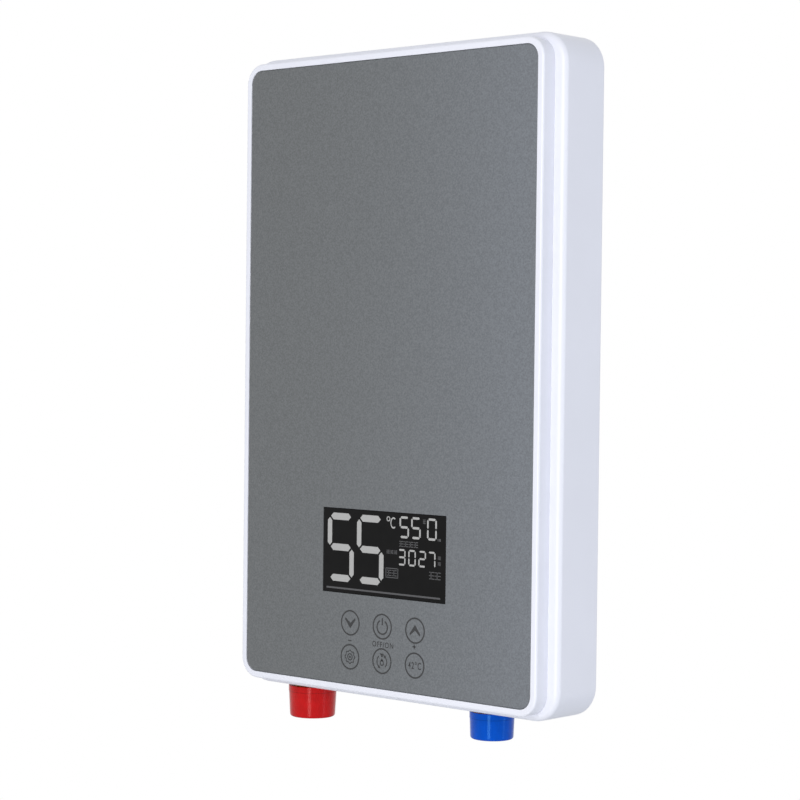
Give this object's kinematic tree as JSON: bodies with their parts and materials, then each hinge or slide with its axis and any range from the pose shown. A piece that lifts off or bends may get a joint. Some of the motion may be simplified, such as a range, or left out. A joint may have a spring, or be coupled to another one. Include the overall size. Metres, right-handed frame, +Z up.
{
  "type": "instant electric water heater",
  "caption": "Flat wall-hung instant electric water heater: white two-part case, grey glass panel with display and touch keys, capped hot and cold connections below.",
  "frame": {"origin": "middle of the case's flat back face, on the wall", "axes": "+X to the right seen from the front, +Y into the wall, +Z up"},
  "size_m": [0.218, 0.0405, 0.3558],
  "materials": {
    "white_plastic": "smooth satin-gloss moulding",
    "panel_glass": "grey print behind polished glass",
    "black_lens": "polished black window",
    "red_plastic": "smooth moulded cap",
    "blue_plastic": "smooth moulded cap",
    "brass": "turned",
    "steel": "drawn and rolled",
    "aluminium": "milled",
    "rubber": "moulded",
    "foam_tape": "adhesive foam",
    "board": "lacquered circuit board",
    "black_plastic": "moulded",
    "ivory_plastic": "moulded",
    "rotor_plastic": "moulded",
    "cutout_plastic": "moulded",
    "button_plastic": "moulded",
    "relay_plastic": "moulded",
    "yellow_tape": "wound and taped",
    "coil_lacquer": "dipped",
    "brown_sleeve": "extruded",
    "red_sleeve": "extruded",
    "earth_sleeve": "extruded",
    "grey_ribbon": "flat cable"
  },
  "bodies": {
    "heater": {"rear_housing": "white_plastic", "back_plate": "white_plastic", "inner_posts": "white_plastic", "front_cover": "white_plastic", "glass_panel": "panel_glass", "display_lens": "black_lens", "outlet_fitting": "brass", "inlet_fitting": "brass", "terminal_screws": "brass", "hot_tube": "steel", "cold_tube": "steel", "hot_element": "steel", "cold_element": "steel", "tube_clips": "steel", "clip_screws": "steel", "control_screws": "steel", "power_screws": "steel", "cover_screws": "steel", "flow_axle": "steel", "hot_probe": "steel", "cold_probe": "steel", "left_hanger": "steel", "right_hanger": "steel", "heat_sink": "aluminium", "cutout_saddle": "aluminium", "element_seals": "rubber", "tube_seals": "rubber", "cable_grommet": "rubber", "panel_tape": "foam_tape", "control_board": "board", "power_board": "board", "triacs": "black_plastic", "hall_sensor": "black_plastic", "lcd_module": "black_plastic", "capacitors": "black_plastic", "touch_pads": "black_plastic", "flow_body": "ivory_plastic", "flow_guide": "ivory_plastic", "terminal_block": "ivory_plastic", "inlet_filter": "ivory_plastic", "crossover_head": "ivory_plastic", "thermal_cutout": "cutout_plastic", "relays": "relay_plastic", "transformer": "yellow_tape", "leak_coil": "coil_lacquer", "supply_wires": "brown_sleeve", "element_wires": "red_sleeve", "earth_wire": "earth_sleeve", "ribbon_cable": "grey_ribbon"},
    "red_cap": {"red_cap": "red_plastic"},
    "blue_cap": {"blue_cap": "blue_plastic"},
    "flow_rotor": {"flow_rotor": "rotor_plastic"},
    "reset_button": {"reset_button": "button_plastic"}
  },
  "joints": [
    {"name": "red_cap_pull", "type": "slide", "parent": "heater", "child": "red_cap", "axis": [0, 0, -1], "range_m": [0, 0.045]},
    {"name": "blue_cap_pull", "type": "slide", "parent": "heater", "child": "blue_cap", "axis": [0, 0, -1], "range_m": [0, 0.045]},
    {"name": "rotor_spin", "type": "hinge", "parent": "heater", "child": "flow_rotor", "pos_m": [0.055, -0.016, -0.1368], "axis": [0, 0, 1], "continuous": true},
    {"name": "reset_press", "type": "slide", "parent": "heater", "child": "reset_button", "axis": [1, 0, 0], "range_m": [0, 0.0012], "stiffness_N_per_m": 400}
  ]
}
